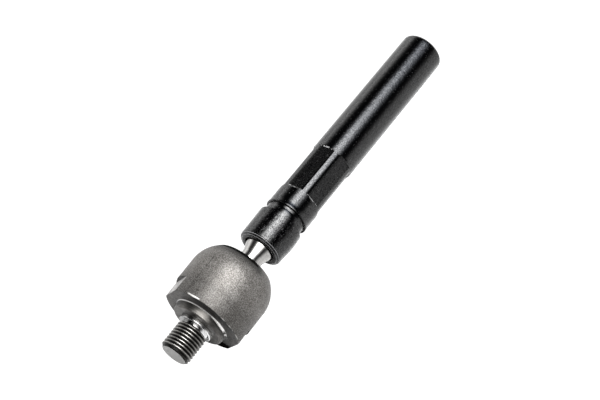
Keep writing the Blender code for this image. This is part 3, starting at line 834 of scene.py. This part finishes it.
def bump(tree, height, strength, distance, normal=None):
    """A normal that a height tilts, on top of another bump where one is given."""
    values = {"Height": height, "Strength": strength, "Distance": distance}
    if normal is not None:
        values["Normal"] = normal
    return add(tree, "ShaderNodeBump", values).outputs["Normal"]


def towards(tree, place, turn):
    """How far a place lies from the axis in the direction of an angle about it."""
    direction = (-math.sin(turn), math.cos(turn), 0.0)
    node = add(tree, "ShaderNodeVectorMath", {0: place, 1: direction}, operation="DOT_PRODUCT")
    return node.outputs["Value"]


def on_side(tree, place, side):
    """A mask of one side of a piece: the turn towards it, and how far out it starts and is full."""
    turn, start, full = side
    return rise(tree, towards(tree, place, turn), start, full)


def height_along(tree, place):
    """How far a place lies along the axis."""
    return add(tree, "ShaderNodeSeparateXYZ", {0: place}).outputs["Z"]


def axis_distance(tree, place):
    """How far a place lies from the axis."""
    across = stretched(tree, place, (1.0, 1.0, 0.0))
    return add(tree, "ShaderNodeVectorMath", {0: across}, operation="LENGTH").outputs["Value"]


def new_material(name):
    """A material with its node tree and shader."""
    material = bpy.data.materials.new(name)
    material.use_nodes = True
    tree = material.node_tree
    return material, tree, tree.nodes["Principled BSDF"]


def place_on_piece(tree):
    """Each point's place in the turned piece's own frame, which a fine mesh holds."""
    return add(tree, "ShaderNodeAttribute", attribute_name=PLACE).outputs["Vector"]


def forging_shade(tree, place, z, ragged):
    """How light the forging is: painted shade by height and at its mouth, painted shadow, shade and light
    on its base face, random patches there, and its die's line.
    """
    start = FORGING_SHADE_START
    span = FORGING_SHADE_SPAN
    # Painted shade: darkest at the base face, and on the mouth's upper side darkest at the mouth
    along = rise(tree, z, start * MM, (start + span) * MM)
    shade = ramp(tree, along, [((h - start) / span, grey) for h, grey in FORGING_PAINTED_SHADES])
    mouth = ramp(tree, along, [((h - start) / span, grey) for h, grey in MOUTH_PAINTED_SHADES])
    change = calc(tree, "SUBTRACT", mouth, 1.0)
    shade = both(tree, shade, linear(tree, change, on_side(tree, place, MOUTH_PAINTED_SHADE_SIDE), 1.0))

    base = rise(tree, z, -BASE_DEPTH + BASE_SHADE_FADE, -BASE_DEPTH)
    # Painted shadow where the base face nears the floor, painted shade on its upper side and painted
    # light on its far side; the patches are random tone
    under = both(tree, base, on_side(tree, place, BASE_SHADOW_LOW_SIDE))
    under = both(tree, under, on_side(tree, place, BASE_SHADOW_NEAR_SIDE))
    patchy = both(tree, base, rise(tree, ragged, 0.40, 0.60))
    upper = both(tree, base, on_side(tree, place, BASE_SHADED_UPPER_SIDE))
    far = both(tree, base, on_side(tree, place, BASE_LIT_FAR_SIDE))
    offset = towards(tree, place, DIE_LINE_TURN)
    line = band(tree, offset, DIE_LINE_OFFSET, DIE_LINE_OFFSET + DIE_LINE_WIDTH, DIE_LINE_FADE)
    line = both(tree, line, band(tree, z, DIE_LINE_START_Z, DIE_LINE_END_Z, DIE_LINE_END_FADE))
    line = both(tree, line, rise(tree, ragged, 0.35, 0.55))
    for mask, gain, unmarked in (
            (under, BASE_SHADOW_GAIN, 1.0), (patchy, BASE_PATCHY_GAIN, FORGING_SHADE_GAIN),
            (upper, BASE_SHADED_UPPER_GAIN, 1.0), (far, BASE_LIT_FAR_GAIN, 1.0), (line, DIE_LINE_GAIN, 1.0)):
        shade = both(tree, shade, linear(tree, mask, gain, unmarked))
    return shade


def forging_marks(tree, place, z, ragged):
    """Masks of the forging's bright wrench flats, of its bare edges, which lie only where a painted
    highlight falls, and of the flats' dark walls.
    """
    across = calc(tree, "ABSOLUTE", towards(tree, place, HOUSING_FLAT_TURN))
    cut = HOUSING_FLAT_DISTANCE
    top = HOUSING_FLAT_TOP_Z
    flats = both(tree, rise(tree, across, cut - 0.15 * MM, cut - 0.05 * MM),
                 rise(tree, z, top, top - 0.9 * MM))
    flats = both(tree, flats, rise(tree, ragged, 0.15, 0.62))
    walls = both(tree, rise(tree, across, cut - 0.05 * MM, cut + 0.1 * MM),
                 band(tree, z, top - 0.55 * MM, top - 0.15 * MM, 0.15 * MM))
    # Bare edge and line on one side only: wear and painted highlight
    edge = both(tree, band(tree, z, -BASE_DEPTH + 0.03 * MM, -BASE_DEPTH + 0.75 * MM, 0.08 * MM),
                on_side(tree, place, BARE_EDGE_GLINT_SIDE))
    edge = both(tree, edge, rise(tree, ragged, 0.40, 0.46))
    line = both(tree, band(tree, z, -BASE_DEPTH + 0.10 * MM, -BASE_DEPTH + 0.30 * MM, 0.08 * MM),
                on_side(tree, place, BARE_LINE_GLINT_SIDE))
    line = both(tree, line, rise(tree, ragged, 0.42, 0.75))
    return flats, most(tree, edge, line), walls


def forged_material():
    """Shot-blasted forging: grey, fine grain, faint warm patches, bare worn edges with a painted
    highlight, and painted shade and light by height and side.
    """
    material, tree, shader = new_material("forged_skin")
    place = place_on_piece(tree)
    z = height_along(tree, place)
    grain = spots(tree, place, FINE_GRAIN, 2.0, 0.6)
    patches = spots(tree, place, PATCH_GRAIN, 3.0, 0.55)
    ragged = spots(tree, place, WEAR_GRAIN, 3.0, 0.6)
    shade = forging_shade(tree, place, z, ragged)
    flats, edges, walls = forging_marks(tree, place, z, ragged)
    colour = multiplied(tree, ramp(tree, grain, FORGING_GREYS), ramp(tree, patches, FORGING_TINTS))
    colour = scaled(tree, colour, shade)
    colour = mix(tree, flats, colour, FLAT_GREY)
    colour = mix(tree, edges, colour, BARE_EDGE_AND_GLINT_GREY)
    colour = mix(tree, walls, colour, FLAT_WALL_GREY)
    # The painted shade also takes away metallic and specular where it is dark
    gloss = rise(tree, shade, 0.03, 0.33)
    set_inputs(tree, shader, {
        "Base Color": colour,
        "Metallic": calc(tree, "MULTIPLY", gloss, 0.8),
        "Roughness": linear(tree, grain, 0.2, 0.40),
        "Specular IOR Level": calc(tree, "MULTIPLY", gloss, 0.5),
        "Normal": bump(tree, grain, 0.7, 0.14 * MM)})
    return material


def collar_reflection_and_cuts(tree, place, z):
    """How bright the collar is: a painted reflection on one side, a fainter one on the other, and lighter
    at its turning cuts.
    """
    bright = on_side(tree, place, COLLAR_REFLECTION_SIDE)
    dull = on_side(tree, place, COLLAR_FAINT_REFLECTION_SIDE)
    wave = calc(tree, "SINE", calc(tree, "MULTIPLY", z, math.tau / COLLAR_CUT_SPACING))
    cuts = rise(tree, wave, -0.2, 0.5)
    return most(tree, bright, calc(tree, "MULTIPLY", dull, 0.35), calc(tree, "MULTIPLY", cuts, 0.3))


def machined_material():
    """Turned faces of the forging: a bare ring round the boss with a painted highlight, a streaky boss
    with painted shade near the base face, a collar with painted reflection and shade.
    """
    material, tree, shader = new_material("machined_steel")
    place = place_on_piece(tree)
    z = height_along(tree, place)
    outline = add(tree, "ShaderNodeCombineXYZ", {
        "X": calc(tree, "MULTIPLY", axis_distance(tree, place), MACHINED_RINGS),
        "Y": calc(tree, "MULTIPLY", z, MACHINED_RINGS)}).outputs[0]
    rings = spots(tree, outline, 1.0)
    patches = spots(tree, stretched(tree, place, MACHINED_PATCHES), 1.0, 3.0)
    ragged = spots(tree, place, MACHINED_WEAR_GRAIN, 3.0, 0.6)

    # Painted highlight: the ring is wider and near-white on one side, and shows more above as wear and
    # painted highlight
    ring_highlight = on_side(tree, place, RING_HIGHLIGHT_SIDE)
    lowest = linear(tree, ring_highlight, -0.55 * MM, -BASE_DEPTH - 0.30 * MM)
    ring = both(tree, rise(tree, calc(tree, "SUBTRACT", z, lowest), -0.12 * MM, 0.0),
                rise(tree, z, -BASE_DEPTH, -BASE_DEPTH - 0.10 * MM))
    worn = linear(tree, towards(tree, place, 0.0), RING_UPPER_WEAR_AND_HIGHLIGHT, ragged)
    ring = both(tree, ring, rise(tree, worn, 0.48, 0.68))
    turned = rise(tree, z, BOSS_FACE_Z - 0.15 * MM, BOSS_FACE_Z - 0.25 * MM)
    tip = rise(tree, z, -STUD_REACH + 0.2 * MM, -STUD_REACH)

    # Painted shade: the boss is darker towards the base face, in the corner between them
    boss_painted_shade = rise(tree, z, -BASE_DEPTH, BOSS_FACE_Z)
    boss = scaled(tree, ramp(tree, patches, BOSS_GREYS), linear(tree, boss_painted_shade, 0.75, 0.30))
    # Painted reflection on the collar's sides, over a shaded dark grey
    sheen_and_cuts = collar_reflection_and_cuts(tree, place, z)
    colour = mix(tree, turned, boss, mix(tree, sheen_and_cuts, COLLAR_SHADED_GREY, COLLAR_REFLECTION_GREY))
    colour = mix(tree, tip, colour, STUD_TIP_GREY)
    colour = mix(tree, ring, colour, mix(tree, ring_highlight, THIN_RING_GREY, RING_HIGHLIGHT_GREY))
    rough = linear(tree, rings, 0.25, linear(tree, turned, -0.22, 0.28))
    set_inputs(tree, shader, {
        "Base Color": colour,
        "Metallic": 1.0,
        "Roughness": most(tree, rough, calc(tree, "MULTIPLY", tip, 0.35)),
        "Normal": bump(tree, rings, 0.3, 0.03 * MM)})
    return material


def thread_material():
    """Rolled thread: lighter crests, darker towards the roots."""
    material, tree, shader = new_material("thread_steel")
    place = place_on_piece(tree)
    worn = spots(tree, place, THREAD_WEAR_GRAIN, 3.0, 0.6)
    depth = rise(tree, axis_distance(tree, place), THREAD_ROOT_RADIUS, THREAD_RADIUS)
    depth = calc(tree, "ADD", depth, linear(tree, worn, 0.7, -0.35))
    set_inputs(tree, shader, {
        "Base Color": ramp(tree, depth, THREAD_GREYS),
        "Metallic": 1.0,
        "Roughness": 0.40,
        "Normal": bump(tree, worn, 0.35, 0.04 * MM)})
    return material


def bright_material():
    """Fine turned neck and ball."""
    material, tree, shader = new_material("bright_steel")
    rings = spots(tree, stretched(tree, place_on_piece(tree), BRIGHT_RINGS), 1.0)
    set_inputs(tree, shader, {
        "Base Color": ramp(tree, rings, BRIGHT_GREYS),
        "Metallic": 1.0,
        "Roughness": 0.20,
        "Normal": bump(tree, rings, 0.3, 0.015 * MM)})
    return material


def worn_and_glinting_hex_ends(tree, place, z, radius, peel):
    """Bare steel at the flats' end walls: all round at the near end, beyond a ridge at the far one, where
    it is also a painted highlight.
    """
    start = HEX_START
    end = HEX_END
    ends = most(tree, band(tree, z, start + 0.2 * MM, start + 0.5 * MM, 0.25 * MM),
                band(tree, z, end - 0.5 * MM, end - 0.2 * MM, 0.25 * MM))
    near = rise(tree, z, start + 2.0 * MM, start + 1.5 * MM)
    ends = both(tree, ends, most(tree, on_side(tree, place, HEX_WORN_AND_GLINT_SIDE), near))
    wall = band(tree, radius, SLEEVE_RADIUS - 0.5 * MM, SLEEVE_RADIUS - 0.08 * MM, 0.05 * MM)
    return both(tree, both(tree, ends, wall), rise(tree, peel, 0.48, 0.55))


def black_material():
    """Glossy black finish of the sleeve: fine grain, scuffs on the head, worn edges at the hex with a
    painted highlight.
    """
    material, tree, shader = new_material("black_finish_looks")
    place = place_on_piece(tree)
    z = height_along(tree, place)
    radius = axis_distance(tree, place)
    peel = spots(tree, place, PEEL_GRAIN, 3.0)
    grit = spots(tree, place, FINE_GRAIN, 2.0, 0.6)
    scuffs = spots(tree, stretched(tree, place, SCUFF_GRAIN), 1.0, 4.0, 0.7)
    rings = spots(tree, stretched(tree, place, TUBE_RINGS), 1.0)
    circles = add(tree, "ShaderNodeCombineXYZ", {"X": calc(tree, "MULTIPLY", radius, FACE_RINGS)})
    turned = spots(tree, circles.outputs[0], 1.0, 1.0)

    near = SLEEVE_START
    chamfer_end = near + HEAD_CHAMFER_LENGTH
    on_head = band(tree, z, near + 2.0 * MM, near + HEAD_LENGTH - 1.0 * MM, 2.0 * MM)
    on_face = rise(tree, z, chamfer_end + 0.1 * MM, chamfer_end)
    on_tube = rise(tree, z, HEX_END, HEX_END + 12.0 * MM)
    on_flats = both(tree, band(tree, z, HEX_START + 0.6 * MM, HEX_END - 0.6 * MM, 0.3 * MM),
                    rise(tree, radius, SLEEVE_RADIUS - 0.10 * MM, SLEEVE_RADIUS - 0.25 * MM))
    scuffed = both(tree, on_head, rise(tree, scuffs, 0.54, 0.66))
    mottle = both(tree, on_tube, spots(tree, place, MOTTLE_GRAIN, 4.0, 0.75))
    specks = rise(tree, spots(tree, place, SPECK_GRAIN, 2.0, 0.6), 0.66, 0.70)
    pits = both(tree, both(tree, on_head, rise(tree, grit, 0.60, 0.66)), rise(tree, peel, 0.50, 0.60))
    arcs = both(tree, on_face, most(tree, band(tree, radius, 8.95 * MM, 9.10 * MM, 0.12 * MM),
                                    band(tree, radius, 9.95 * MM, 10.20 * MM, 0.08 * MM)))
    # Worn end walls of the flats, at the far end on one side only as a painted highlight
    worn = worn_and_glinting_hex_ends(tree, place, z, radius, peel)

    colour = mix(tree, on_face, SLEEVE_BLACK, SLEEVE_FACE_BLACK)
    colour = mix(tree, specks, colour, SPECK_GREY)
    colour = mix(tree, pits, colour, PIT_GREY)
    colour = mix(tree, arcs, colour, FACE_ARC_GREY)
    colour = mix(tree, worn, colour, HEX_WORN_AND_GLINT_GREY)
    rough = most(tree, linear(tree, peel, 0.06, 0.04), both(tree, scuffed, 0.18), both(tree, pits, 0.45),
                 both(tree, on_flats, linear(tree, grit, 0.3, 0.08)), both(tree, on_face, 0.25),
                 both(tree, worn, 0.42))
    height = linear(tree, grit, 1.4, both(tree, scuffed, 2.6))
    height = linear(tree, mottle, 5.0, height)
    height = linear(tree, both(tree, on_face, turned), 6.0, height)
    peeled = bump(tree, peel, 0.03, 0.03 * MM)
    ringed = bump(tree, rings, 0.03, 0.02 * MM, peeled)
    set_inputs(tree, shader, {
        "Base Color": colour,
        "Roughness": rough,
        "IOR": 1.52,
        "Specular IOR Level": calc(tree, "MULTIPLY_ADD", grit, 2.2, -0.6, clamp=True),
        "Normal": bump(tree, height, 0.5, 0.02 * MM, ringed)})
    return material


def plastic_material():
    """Natural plastic; the race is the CAD node, so its own Object coordinates are used."""
    material, tree, shader = new_material("race_plastic_looks")
    cloud = spots(tree, add(tree, "ShaderNodeTexCoord").outputs["Object"], PLASTIC_CLOUD)
    set_inputs(tree, shader, {
        "Base Color": ramp(tree, cloud, PLASTIC_CREAMS),
        "Roughness": 0.45,
        "Normal": bump(tree, cloud, 0.1, 0.05 * MM)})
    return material


def droop_angle():
    """How far the rod droops until the sleeve's far end touches the floor."""
    along = SLEEVE_END - SLEEVE_END_ROUND
    return math.asin(BALL_CENTRE.z / math.hypot(along, SLEEVE_RADIUS)) - math.atan2(SLEEVE_RADIUS, along)


def make_pieces():
    """The three fine pieces in place of their solids, and the race's material."""
    housing_place = Matrix.Translation(BALL_CENTRE) @ ALONG_X
    rod_place = housing_place @ Matrix.Rotation(droop_angle(), 4, "X")
    housing = make_housing([forged_material(), machined_material(), thread_material()], housing_place)
    stud = make_ball_stud([bright_material()], rod_place)
    sleeve = make_sleeve([black_material()], rod_place)
    rows = (
        (housing, "housing", "housing", "forged_steel"),
        (stud, "rod", "ball_stud", "turned_steel"),
        (sleeve, "rod", "sleeve", "black_finish"),
    )
    for piece, body, node, slot in rows:
        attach(piece, body)
        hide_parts(node)
    race = frame["nodes"]["ball_race"]
    race.data.materials.clear()
    race.data.materials.append(plastic_material())


def make_plane(name, colour, specular, glow):
    """A wide level plane just under the part: it reflects light, or glows white."""
    half = FLOOR_HALF_WIDTH
    corners = [(-half, -half, 0), (half, -half, 0), (half, half, 0), (-half, half, 0)]
    mesh = bpy.data.meshes.new(name)
    mesh.from_pydata(corners, [], [(0, 1, 2, 3)])
    plane = bpy.data.objects.new(name, mesh)
    plane.location.z = -FLOOR_GAP
    bpy.context.scene.collection.objects.link(plane)
    material, tree, shader = new_material(name)
    set_inputs(tree, shader, {
        "Base Color": (colour, colour, colour, 1.0),
        "Roughness": FLOOR_ROUGHNESS,
        "Specular IOR Level": specular,
        "Emission Color": (1.0, 1.0, 1.0, 1.0),
        "Emission Strength": glow})
    mesh.materials.append(material)
    return plane


def make_floor():
    """A pale floor that lights and shades the part, and looks pure white to the camera."""
    floor = make_plane("floor", FLOOR_ALBEDO, FLOOR_SPECULAR, 0.0)
    floor.visible_camera = False
    sweep = make_plane("floor_white", 0.0, 0.0, FLOOR_WHITE)
    sweep.visible_diffuse = False
    sweep.visible_glossy = False
    sweep.visible_transmission = False
    sweep.visible_shadow = False


def profile(tree, value, span, stops):
    """Light that depends on a value: stops of (value, light) within a span about zero."""
    share = calc(tree, "MULTIPLY_ADD", value, 1.0 / span, 0.5, clamp=True)
    return ramp(tree, share, [(0.5 + at / span, light) for at, light in stops])


def make_world():
    """Soft studio: a long softbox overhead and white surroundings, with a dark zone between them."""
    world = bpy.data.worlds.new("studio")
    bpy.context.scene.world = world
    world.use_nodes = True
    tree = world.node_tree
    direction = add(tree, "ShaderNodeTexCoord").outputs["Generated"]
    x, y, z = add(tree, "ShaderNodeSeparateXYZ", {0: direction}).outputs

    turn = calc(tree, "DEGREES", calc(tree, "ARCTAN2", calc(tree, "MULTIPLY", y, -1.0), z))
    slope = calc(tree, "DIVIDE", x, calc(tree, "MAXIMUM", z, BOX_LOWEST_Z))
    across = profile(tree, turn, BOX_ACROSS_SPAN, BOX_ACROSS)
    along = profile(tree, slope, BOX_ALONG_SPAN, BOX_ALONG)
    box = set_inputs(tree, tree.nodes["Background"], {
        "Color": multiplied(tree, across, along), "Strength": BOX_STRENGTH})

    tilted = linear(tree, y, -math.sin(ROOM_TILT), calc(tree, "MULTIPLY", z, math.cos(ROOM_TILT)))
    room = add(tree, "ShaderNodeBackground", {
        "Color": ramp(tree, calc(tree, "MAXIMUM", tilted, 0.0), ROOM_HEIGHTS),
        "Strength": linear(tree, y, ROOM_BACK_GAIN, ROOM_STRENGTH)})
    light = add(tree, "ShaderNodeAddShader", {0: box.outputs[0], 1: room.outputs[0]})
    set_inputs(tree, tree.nodes["World Output"], {"Surface": light.outputs[0]})


def make_camera():
    """The photograph's camera, which looks down on the part from its side."""
    camera = bpy.data.cameras.new("camera")
    camera.lens = CAMERA_LENS_MM
    camera.sensor_width = CAMERA_SENSOR_MM
    camera.clip_start = CAMERA_NEAREST
    camera.clip_end = CAMERA_FARTHEST
    level = math.cos(CAMERA_ELEVATION)
    back = Vector((
        math.sin(CAMERA_AZIMUTH) * level, -math.cos(CAMERA_AZIMUTH) * level, math.sin(CAMERA_ELEVATION)))
    obj = bpy.data.objects.new("camera", camera)
    obj.location = CAMERA_TARGET + back * CAMERA_DISTANCE
    obj.rotation_euler = (-back).to_track_quat("-Z", "Y").to_euler()
    bpy.context.scene.collection.objects.link(obj)
    bpy.context.scene.camera = obj


make_pieces()
make_floor()
make_world()
make_camera()
bpy.context.scene.view_settings.view_transform = "Standard"
